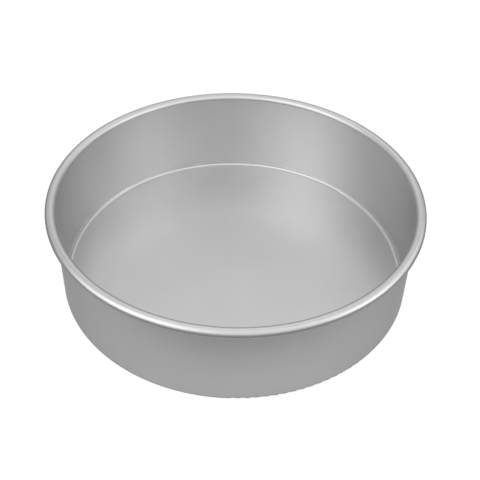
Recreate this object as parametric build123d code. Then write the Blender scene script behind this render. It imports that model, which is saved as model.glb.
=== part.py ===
from build123d import *
import os
from math import acos, cos, degrees, radians, sin, tan

# A round cake tin with a loose base, in millimetres.
# The origin is the centre of the foot, on the surface that the tin stands on, and +Z is up.
# It has three pieces: the side wall, the wire inside its rolled rim, and the loose base.

# Side wall: one sheet with a rolled rim at the top and an inward ledge at the foot
inside_diameter = 203.2  # 8 inches, across the wall's inside face just under the rim
tin_height = 56.2
wall_thickness = 1.2  # 18 gauge
wall_draft_angle = 0.45  # degrees, so the wall is slightly narrower at its foot
foot_bend_radius = 0.2  # inside the bend
ledge_width = 7.0  # from the wall's inside face to the ledge's cut edge
curl_end_gap = 0.2  # between the rolled-under edge and the wall's outside face

# Rim wire: a ring inside the rolled rim, its two ends nearly touching
wire_diameter = 3.4
wire_clearance = 0.1
wire_end_gap = 0.5

# Loose base: a plate that lies on the ledge, its edge turned up against the wall
base_thickness = 1.2
base_clearance = 0.05  # a snug fit, between the turned-up edge and the wall's inside face
base_bend_radius = 2.0  # inside the bend

# The cut edges that a hand or a knife meets are rounded off
edge_rounding = 0.1

# The rolled rim, centred on the wire
draft = radians(wall_draft_angle)
curl_inner_radius = wire_diameter / 2 + wire_clearance
curl_middle_radius = curl_inner_radius + wall_thickness / 2
curl_outer_radius = curl_inner_radius + wall_thickness
curl_centre_height = tin_height - curl_outer_radius

# The middle of the wall's sheet, from where it meets the rolled rim down to the foot's bend
wall_top_radius = inside_diameter / 2 + wall_thickness / 2
wall_top_height = curl_centre_height + curl_middle_radius * sin(draft)
curl_centre_radius = wall_top_radius + curl_middle_radius * cos(draft)
foot_middle_radius = foot_bend_radius + wall_thickness / 2
wall_foot_height = wall_thickness / 2 + foot_middle_radius * (1 - sin(draft))
wall_foot_radius = wall_top_radius - (wall_top_height - wall_foot_height) * tan(draft)

# What the loose base fits into
foot_inside_radius = wall_foot_radius - wall_thickness / 2
ledge_inner_radius = foot_inside_radius - ledge_width
base_radius = foot_inside_radius - base_clearance


def side_wall():
    """The sheet's section, drawn along its middle line and spun round the tin's axis."""
    # The roll goes up from the wall, over the wire and back under, until it nearly meets the wall
    unrolled_angle = degrees(acos((curl_inner_radius - curl_end_gap) / curl_outer_radius))
    curl_angle = 360 - wall_draft_angle - unrolled_angle
    upward = (sin(draft), cos(draft))
    downward = (-sin(draft), -cos(draft))
    wall_top = (wall_top_radius, wall_top_height)
    wall_foot = (wall_foot_radius, wall_foot_height)
    with BuildPart() as ring:
        with BuildSketch(Plane.XZ) as section:
            with BuildLine():
                JernArc(wall_top, upward, curl_middle_radius, -curl_angle)
                Line(wall_top, wall_foot)
                foot_bend = JernArc(wall_foot, downward, foot_middle_radius, wall_draft_angle - 90)
                Line(foot_bend @ 1, (ledge_inner_radius, wall_thickness / 2))
            trace(line_width=wall_thickness)
            ledge_corners = section.vertices().group_by(Axis.X)[0]
            fillet(ledge_corners, edge_rounding)
        revolve(axis=Axis.Z)
    return ring.part


def rim_wire():
    """A round wire bent into a ring, with a small gap between its ends."""
    gap_angle = degrees(wire_end_gap / curl_centre_radius)
    with BuildPart() as wire:
        with BuildSketch(Plane.XZ):
            with Locations((curl_centre_radius, curl_centre_height)):
                Circle(wire_diameter / 2)
        revolve(axis=Axis.Z, revolution_arc=360 - gap_angle)
    return wire.part


def loose_base():
    """A flat plate of one thickness throughout, with its edge bent straight up."""
    bend_middle_radius = base_bend_radius + base_thickness / 2
    bend_start_radius = base_radius - base_thickness / 2 - bend_middle_radius
    plate_height = wall_thickness + base_thickness / 2
    bend_start = (bend_start_radius, plate_height)
    with BuildPart() as base:
        with BuildSketch(Plane.XZ) as section:
            with BuildLine():
                Line((0, plate_height), bend_start)
                JernArc(bend_start, (1, 0), bend_middle_radius, 90)
            trace(line_width=base_thickness)
            # The outer corner stays square, so that it closes against the wall
            inner_corner = section.vertices().group_by(Axis.Y)[-1].sort_by(Axis.X)[0]
            fillet(inner_corner, edge_rounding)
        revolve(axis=Axis.Z)
    return base.part


nodes = {
    "side_wall": side_wall(),
    "rim_wire": rim_wire(),
    "loose_base": loose_base(),
}
os.makedirs("parts", exist_ok=True)
for name, shape in nodes.items():
    export_step(shape, f"parts/{name}.step")
    print(name, "valid:", shape.is_valid, "volume:", round(shape.volume), "cubic mm")
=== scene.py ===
# %% [markdown]
# # A round cake tin in satin aluminium
#
# The shapes of this tin come ready made: a side wall with a rolled rim, a wire inside the
# roll, and a loose base. They are loaded first as a fixed frame. What is left for Blender is
# what makes bare metal look like bare metal: its surface, the light, and the camera.

# %% Load the tin
from math import cos, radians, sin
import bpy
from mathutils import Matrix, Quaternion, Vector


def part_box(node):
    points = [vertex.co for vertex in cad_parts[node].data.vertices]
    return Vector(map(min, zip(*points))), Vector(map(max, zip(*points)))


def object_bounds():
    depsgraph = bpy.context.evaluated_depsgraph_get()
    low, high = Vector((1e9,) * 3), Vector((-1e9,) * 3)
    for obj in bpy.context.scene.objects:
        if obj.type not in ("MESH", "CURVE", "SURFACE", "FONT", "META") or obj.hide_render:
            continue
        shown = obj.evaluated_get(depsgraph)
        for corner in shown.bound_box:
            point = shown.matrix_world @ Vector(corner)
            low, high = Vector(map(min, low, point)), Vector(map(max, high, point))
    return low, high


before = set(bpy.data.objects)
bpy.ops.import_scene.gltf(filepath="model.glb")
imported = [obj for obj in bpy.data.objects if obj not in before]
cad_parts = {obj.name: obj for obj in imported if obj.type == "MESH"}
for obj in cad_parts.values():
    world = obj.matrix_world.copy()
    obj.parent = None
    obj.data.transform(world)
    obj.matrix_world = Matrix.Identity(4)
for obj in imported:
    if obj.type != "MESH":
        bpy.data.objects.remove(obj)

cad_low, cad_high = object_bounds()
rim_radius = (cad_high.x - cad_low.x) / 2
tin_height = cad_high.z - cad_low.z
print("rim radius", round(rim_radius, 4), "m, height", round(tin_height, 4), "m")

# %% [markdown]
# ## Small helpers for node trees
#
# Every finish below is a node tree. A tree could be joined up in the shader editor, but a few
# short helpers let it be written down instead, so that each material reads as a list of what
# it does. The first two start a material, and add a node with its values and links.

# %% Nodes
def new_material(name):
    """An empty node tree with its output node."""
    material = bpy.data.materials.new(name)
    material.use_nodes = True
    tree = material.node_tree
    tree.nodes.clear()
    return material, tree, tree.nodes.new("ShaderNodeOutputMaterial")


def fill(tree, socket, value):
    """Gives a socket a plain value, or a link from another socket."""
    if isinstance(value, bpy.types.NodeSocket):
        tree.links.new(value, socket)
    else:
        socket.default_value = value


def add_node(tree, kind, settings=None, **inputs):
    """A node of one kind. Inputs are plain values, or sockets to link from."""
    node = tree.nodes.new(kind)
    for name, value in (settings or {}).items():
        setattr(node, name, value)
    for name, value in inputs.items():
        fill(tree, node.inputs[name.replace("_", " ")], value)
    return node


print("helpers for node trees: new_material, fill, add_node")

# %% [markdown]
# ## Arithmetic and noise
#
# Finishes are worked out from where a point is on the tin. Math nodes do the arithmetic, and
# a noise texture gives the unevenness that no real surface is without. Most of a noise lies
# between 0.3 and 0.7, so one helper stretches that part over the range that a finish needs.

# %% Arithmetic and noise
NOISE_LOW = 0.3
NOISE_HIGH = 0.7


def work_out(tree, kind, operation, *values):
    """One step of arithmetic, on numbers or on vectors. Values are plain ones, or sockets."""
    node = add_node(tree, kind, {"operation": operation})
    for socket, value in zip(node.inputs, values):
        fill(tree, socket, value)
    return node.outputs


def number(tree, operation, *values):
    """One step of arithmetic that gives a number."""
    return work_out(tree, "ShaderNodeMath", operation, *values)[0]


def vector(tree, operation, *values):
    """One step of arithmetic that gives a vector."""
    return work_out(tree, "ShaderNodeVectorMath", operation, *values)["Vector"]


def length(tree, place):
    """How far a point is from the origin."""
    return work_out(tree, "ShaderNodeVectorMath", "LENGTH", place)["Value"]


def remap(tree, source, low, high, out_low, out_high, blend="LINEAR"):
    """Stretches the part of a signal between low and high over a new range."""
    node = add_node(tree, "ShaderNodeMapRange", {"interpolation_type": blend}, Value=source)
    node.inputs["From Min"].default_value = low
    node.inputs["From Max"].default_value = high
    node.inputs["To Min"].default_value = out_low
    node.inputs["To Max"].default_value = out_high
    return node.outputs["Result"]


def noise(tree, coordinates, size, detail=2.0):
    """Soft noise whose blotches are about size metres across."""
    cloudy = add_node(
        tree, "ShaderNodeTexNoise", Vector=coordinates, Scale=1 / size, Detail=detail
    )
    return cloudy.outputs["Fac"]


def spread(tree, cloudy, low, high):
    """Stretches a noise over a new range."""
    return remap(tree, cloudy, NOISE_LOW, NOISE_HIGH, low, high)


print("noise is stretched from", NOISE_LOW, "to", NOISE_HIGH)

# %% [markdown]
# ## Normals of a turned shape
#
# Every piece of the tin is turned round one axis. The shading normals that come with the
# shapes lean a little round that axis here and there, and on a tight bend this breaks the
# light into beads. A turned surface can't lean that way, so this helper takes that part out
# of the normal and leaves the rest. The meshes themselves stay as they came.

# %% Turned normals
UP = (0, 0, 1)


def turned_normal(tree, place):
    """The normal without the part that points round the tin's axis."""
    normal = add_node(tree, "ShaderNodeNewGeometry").outputs["Normal"]
    round_axis = vector(tree, "NORMALIZE", vector(tree, "CROSS_PRODUCT", UP, place))
    lean = vector(tree, "PROJECT", normal, round_axis)
    return vector(tree, "NORMALIZE", vector(tree, "SUBTRACT", normal, lean))


print("normals kept square to the axis", UP)

# %% [markdown]
# ## Wear along the edges
#
# Use shows first where the tin is touched. The edges that hands and knives slide over are
# rubbed a little smoother and lighter, and the ones that it slides on are scuffed duller.
# Wear could be painted on by hand, but on a turned shape the height alone finds each edge.
# A noise with blotches of a few millimetres breaks the band up, as real wear is never even.

# %% Wear
PATCH = 0.006
LEAST_WORN = 0.3


def wear(tree, place, height, band):
    """From 0 to 1 along one edge. A band is two heights: where wear begins, and is full."""
    patchy = spread(tree, noise(tree, place, PATCH), LEAST_WORN, 1.0)
    return number(tree, "MULTIPLY", remap(tree, height, *band, 0, 1, "SMOOTHSTEP"), patchy)


print("wear in blotches of", PATCH, "m")

# %% [markdown]
# ## Satin aluminium
#
# The tin is anodised after it is formed, so the metal has no drawn lines: it has a fine, even
# tooth that spreads each reflection out. A metallic shader with a middling roughness gives
# the spread. A very fine noise moves the tone, the roughness and the normal from grain to
# grain, and a slow one makes the faint clouds of a surface that has been wiped by hand. Seen
# at a glancing angle the matt skin dulls the metal, which the shader's edge tint gives.

# %% Satin aluminium
GREY = 0.70
ROUGHNESS = 0.38
EDGE_TINT = 0.65
GRAIN = 0.0005
GRAIN_IN_TONE = 0.015
GRAIN_IN_ROUGHNESS = 0.02
CLOUD = 0.035
CLOUD_IN_TONE = 0.02
FINE_DETAIL = 3.0
RUBBED_TONE = 0.05
RUBBED_ROUGHNESS = -0.07
SCUFFED_TONE = -0.08
SCUFFED_ROUGHNESS = 0.07
TOOTH_STRENGTH = 0.06
TOOTH_DEPTH = 0.0001


def satin_aluminium(name, rubbed_band, scuffed_band):
    """The metal of one piece, with the heights between which its edges are worn."""
    material, tree, output = new_material(name)
    place = add_node(tree, "ShaderNodeTexCoord").outputs["Object"]
    height = add_node(tree, "ShaderNodeSeparateXYZ", Vector=place).outputs["Z"]
    grain = noise(tree, place, GRAIN, FINE_DETAIL)
    cloud = noise(tree, place, CLOUD, FINE_DETAIL)
    rubbed = wear(tree, place, height, rubbed_band)
    scuffed = wear(tree, place, height, scuffed_band)

    tone = spread(tree, cloud, (1 - CLOUD_IN_TONE) * GREY, (1 + CLOUD_IN_TONE) * GREY)
    speckle = spread(tree, grain, 1 - GRAIN_IN_TONE, 1 + GRAIN_IN_TONE)
    tone = number(tree, "MULTIPLY", tone, speckle)
    tone = number(tree, "MULTIPLY_ADD", rubbed, RUBBED_TONE, tone)
    tone = number(tree, "MULTIPLY_ADD", scuffed, SCUFFED_TONE, tone)

    rough = spread(tree, grain, ROUGHNESS - GRAIN_IN_ROUGHNESS, ROUGHNESS + GRAIN_IN_ROUGHNESS)
    rough = number(tree, "MULTIPLY_ADD", rubbed, RUBBED_ROUGHNESS, rough)
    rough = number(tree, "MULTIPLY_ADD", scuffed, SCUFFED_ROUGHNESS, rough)

    tooth = add_node(
        tree, "ShaderNodeBump", Height=grain, Strength=TOOTH_STRENGTH, Distance=TOOTH_DEPTH,
        Normal=turned_normal(tree, place),
    )
    shader = add_node(
        tree, "ShaderNodeBsdfPrincipled",
        Base_Color=tone, Metallic=1.0, Specular_Tint=(EDGE_TINT, EDGE_TINT, EDGE_TINT, 1),
        Roughness=rough, Normal=tooth.outputs["Normal"],
    )
    tree.links.new(shader.outputs["BSDF"], output.inputs["Surface"])
    return material


print("satin aluminium of grey", GREY, "and roughness", ROUGHNESS)

# %% [markdown]
# ## Where the wall and the base are worn
#
# The wall is rubbed along the top of its rolled rim, and scuffed at the foot that it stands
# on. The base is rubbed along its turned-up edge, where a knife goes round to free the cake,
# and scuffed underneath, where it lies on the ledge. Both get the same metal.

# %% Wall and base metal
RIM_RUBBED = 0.0012
BASE_EDGE_RUBBED = 0.0007
WALL_SCUFFED = (0.0016, 0.0002)
BASE_SCUFFED = (0.0016, 0.0012)

base_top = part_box("loose_base")[1].z
wall_metal = satin_aluminium(
    "satin_aluminium_wall", (tin_height - RIM_RUBBED, tin_height), WALL_SCUFFED
)
base_metal = satin_aluminium(
    "satin_aluminium_base", (base_top - BASE_EDGE_RUBBED, base_top), BASE_SCUFFED
)
print("rim rubbed down to", round(tin_height - RIM_RUBBED, 4), "m")
print("edge of the base rubbed up to", round(base_top, 4), "m")

# %% [markdown]
# ## Drawn wire
#
# The wire inside the rolled rim is only seen through the hair-thin gap under the curl. It is
# steel pulled through a die, so its marks are fine lines that run along it. Noise is
# stretched along the wire for that: its place round the axis counts for much less than its
# place across the wire.

# %% Drawn wire
WIRE_GREY = 0.55
WIRE_GREY_SPREAD = 0.1
WIRE_ROUGHNESS = (0.28, 0.42)
LINE = 0.0002
LINE_LENGTH = 0.012
LINE_STRENGTH = 0.2
LINE_DEPTH = 0.00005


def unrolled(tree):
    """Places on the wire as if it lay straight, with its length shrunk to stretch a noise."""
    place = add_node(tree, "ShaderNodeTexCoord").outputs["Object"]
    parts = add_node(tree, "ShaderNodeSeparateXYZ", Vector=place).outputs
    across = length(tree, vector(tree, "MULTIPLY", place, (1, 1, 0)))
    round_axis = number(tree, "ARCTAN2", parts["Y"], parts["X"])
    along = number(tree, "MULTIPLY", round_axis, rim_radius * LINE / LINE_LENGTH)
    straight = add_node(tree, "ShaderNodeCombineXYZ", X=across, Y=along, Z=parts["Z"])
    return straight.outputs["Vector"]


def drawn_wire(name):
    """Steel with fine lines along it."""
    material, tree, output = new_material(name)
    lines = noise(tree, unrolled(tree), LINE)
    tone = spread(
        tree, lines, (1 - WIRE_GREY_SPREAD) * WIRE_GREY, (1 + WIRE_GREY_SPREAD) * WIRE_GREY
    )
    grooves = add_node(
        tree, "ShaderNodeBump", Height=lines, Strength=LINE_STRENGTH, Distance=LINE_DEPTH
    )
    shader = add_node(
        tree, "ShaderNodeBsdfPrincipled",
        Base_Color=tone, Metallic=1.0,
        Roughness=spread(tree, lines, *WIRE_ROUGHNESS), Normal=grooves.outputs["Normal"],
    )
    tree.links.new(shader.outputs["BSDF"], output.inputs["Surface"])
    return material


wire_metal = drawn_wire("drawn_steel_wire")
print("wire marked with lines", LINE, "m wide and", LINE_LENGTH, "m long")

# %% [markdown]
# ## Put the metals on
#
# A mesh takes its material from its slots. The shapes come with their slots in place, so each
# slot is simply given the metal of its piece.

# %% Metals on the pieces
metals = {"side_wall": wall_metal, "loose_base": base_metal, "rim_wire": wire_metal}
for node_name, metal in metals.items():
    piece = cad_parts[node_name]
    for slot in piece.material_slots:
        slot.material = metal
    print(node_name, "slots", len(piece.material_slots), "vertices", len(piece.data.vertices))

# %% [markdown]
# ## The floor
#
# The tin stands on a plain pale floor, a hair below the foot, so that the two never lie in
# one plane.

# %% Floor
FLOOR_SIZE = 6.0
FLOOR_CELLS = 8
FLOOR_DROP = 0.0002

bpy.ops.mesh.primitive_grid_add(
    x_subdivisions=FLOOR_CELLS, y_subdivisions=FLOOR_CELLS,
    size=FLOOR_SIZE, location=(0, 0, -FLOOR_DROP),
)
floor = bpy.context.object
floor.name = "floor"
print("floor", FLOOR_SIZE, "m across")

# %% [markdown]
# ## White paper that keeps a shade
#
# More lamps could make the floor white, but they would burn out the tin. Instead a glow that
# only the camera meets lifts the open floor to white, and the paper under it adds a little of
# the lamps' light, so that the tin's own shade stays visible round the foot.
#
# Metal shows the floor as a mirror would, so the glow is there for reflections too. It is
# weaker in them, because a floor at full white would wash the wall out. In reflections the glow
# is a painted pool of light: weaker again further off, which darkens the wall towards the rim,
# and wider than it is deep, so that the wall is darkest in front. It starts a hair outside the
# foot, and the ring left dark there is a painted shadow for the tin's own shade on a real floor.

# %% Paper
PAPER = 0.16
GLOW_SEEN = 0.90
GLOW_NEAR = 0.42
GLOW_FAR = 0.08
GLOW_FADES = (0.12, 0.17)
GLOW_WIDENED = 1.25
FOOT_RADIUS = 0.1024
FOOT_SHADE = 0.001

floor_material, tree, output = new_material("white_floor")
place = add_node(tree, "ShaderNodeTexCoord").outputs["Object"]
# Painted pool of light, seen only in reflections: strongest near the tin, weaker further off,
# and wider than it is deep.
narrowed = vector(tree, "MULTIPLY", place, (1 / GLOW_WIDENED, 1, 1))
painted_light_pool = remap(tree, length(tree, narrowed), *GLOW_FADES, GLOW_NEAR, GLOW_FAR, "SMOOTHSTEP")
# Painted shadow: the glow in reflections is left out of a ring a millimetre wide round the foot.
foot = (FOOT_RADIUS, FOOT_RADIUS + FOOT_SHADE)
outside_painted_foot_shadow = remap(tree, length(tree, place), *foot, 0, 1, "SMOOTHSTEP")
painted_reflected_glow = number(tree, "MULTIPLY", painted_light_pool, outside_painted_foot_shadow)
rays = add_node(tree, "ShaderNodeLightPath").outputs
seen = number(tree, "MULTIPLY", rays["Is Camera Ray"], GLOW_SEEN)
strength = number(tree, "MULTIPLY_ADD", rays["Is Glossy Ray"], painted_reflected_glow, seen)

paper = add_node(tree, "ShaderNodeBsdfDiffuse", Color=(PAPER, PAPER, PAPER, 1))
glow = add_node(tree, "ShaderNodeEmission", Color=(1, 1, 1, 1), Strength=strength)
both = add_node(tree, "ShaderNodeAddShader")
tree.links.new(paper.outputs[0], both.inputs[0])
tree.links.new(glow.outputs[0], both.inputs[1])
tree.links.new(both.outputs[0], output.inputs["Surface"])
floor.data.materials.append(floor_material)
print("paper", PAPER, "with a glow of", GLOW_SEEN, "seen and up to", GLOW_NEAR, "in metal")

# %% [markdown]
# ## A pale room
#
# Satin metal shows its surroundings, blurred. A single grey all round would leave it flat, so
# the room is a dome that is brightest halfway up, and dimmer along the floor and overhead.
# The camera sees it white, like the floor.

# %% Room
ROOM_HORIZON = 0.33
ROOM_RISE = 1.28
ROOM_FALL = 1.41

world = bpy.data.worlds.new("studio")
bpy.context.scene.world = world
world.use_nodes = True
tree = world.node_tree
direction = add_node(tree, "ShaderNodeTexCoord").outputs["Generated"]
height = add_node(tree, "ShaderNodeSeparateXYZ", Vector=direction).outputs["Z"]
height = number(tree, "MAXIMUM", height, 0)
slope = number(tree, "MULTIPLY_ADD", height, -ROOM_FALL, ROOM_RISE)
level = number(tree, "MULTIPLY_ADD", height, slope, ROOM_HORIZON)
rays = add_node(tree, "ShaderNodeLightPath").outputs
shown = number(tree, "MAXIMUM", level, rays["Is Camera Ray"])
room = tree.nodes["Background"]
room.inputs["Color"].default_value = (1, 1, 1, 1)
tree.links.new(shown, room.inputs["Strength"])
print("room", ROOM_HORIZON, "at the horizon")
print("room", round(ROOM_HORIZON + ROOM_RISE - ROOM_FALL, 2), "overhead")

# %% [markdown]
# ## Softboxes
#
# Square lamps stand close round the tin, where a studio would have its softboxes. Large ones
# above the camera and on the right light the base and the wall. Small ones overhead, at the
# back and on the left fill in, and three low ones draw the light along the rolled rim.

# %% Softboxes
LAMP_DISTANCE = 0.75
SMALL = 0.5
LARGE = 1.0

middle = Vector((0, 0, tin_height / 2))


def softbox(name, azimuth, elevation, size, power):
    """A square lamp that faces the tin. Azimuth 0 is the camera's side, 90 is on the right."""
    lamp = bpy.data.lights.new(name, "AREA")
    lamp.size = size
    lamp.energy = power
    holder = bpy.data.objects.new(name, lamp)
    bpy.context.scene.collection.objects.link(holder)
    turn = radians(azimuth)
    lift = radians(elevation)
    out = Vector((sin(turn) * cos(lift), -cos(turn) * cos(lift), sin(lift)))
    holder.location = middle + LAMP_DISTANCE * out
    holder.rotation_mode = "QUATERNION"
    holder.rotation_quaternion = (-out).to_track_quat("-Z", "Y")
    holder.visible_camera = False
    return holder


softboxes = [
    softbox("top_softbox", 0, 85, SMALL, 0.25),
    softbox("front_softbox", 0, 60, LARGE, 1.29),
    softbox("right_softbox", 90, 35, LARGE, 1.22),
    softbox("back_softbox", 180, 60, SMALL, 0.37),
    softbox("left_softbox", 270, 60, SMALL, 0.27),
    softbox("front_left_softbox", 315, 40, SMALL, 0.67),
    softbox("low_left_softbox", 292.5, 20, SMALL, 0.68),
    softbox("low_right_softbox", 67.5, 20, SMALL, 0.63),
]
total_power = sum(holder.data.energy for holder in softboxes)
print(len(softboxes), "softboxes,", round(total_power, 2), "W in all")

# %% [markdown]
# ## The camera
#
# The camera stands in front of the tin and looks down at it at about 41 degrees. Its lens is
# given as a focal length in pixels, which is easy to find from a picture, and turned into
# Blender's millimetres.

# %% Camera
CAMERA_DISTANCE = 4.885 * rim_radius
CAMERA_ELEVATION = 0.7145
CAMERA_ROLL = 0.0268
AIM_RIGHT = 0.0258 * rim_radius
AIM_UP = -0.0665 * rim_radius
FOCAL_PIXELS = 892.5
PICTURE_PIXELS = 480
CLIP_START = 0.01

camera = bpy.data.objects.new("camera", bpy.data.cameras.new("camera"))
bpy.context.scene.collection.objects.link(camera)
camera.data.lens = camera.data.sensor_width * FOCAL_PIXELS / PICTURE_PIXELS
camera.data.clip_start = CLIP_START
back_and_up = Vector((0, -cos(CAMERA_ELEVATION), sin(CAMERA_ELEVATION)))
camera.location = middle + CAMERA_DISTANCE * back_and_up
aim = middle + Vector((AIM_RIGHT, 0, AIM_UP))
looking = (aim - camera.location).to_track_quat("-Z", "Y")
camera.rotation_mode = "QUATERNION"
camera.rotation_quaternion = looking @ Quaternion((0, 0, 1), CAMERA_ROLL)
bpy.context.scene.camera = camera
bpy.context.scene.view_settings.view_transform = "Standard"
print("camera", [round(v, 3) for v in camera.location], "lens", round(camera.data.lens, 1), "mm")
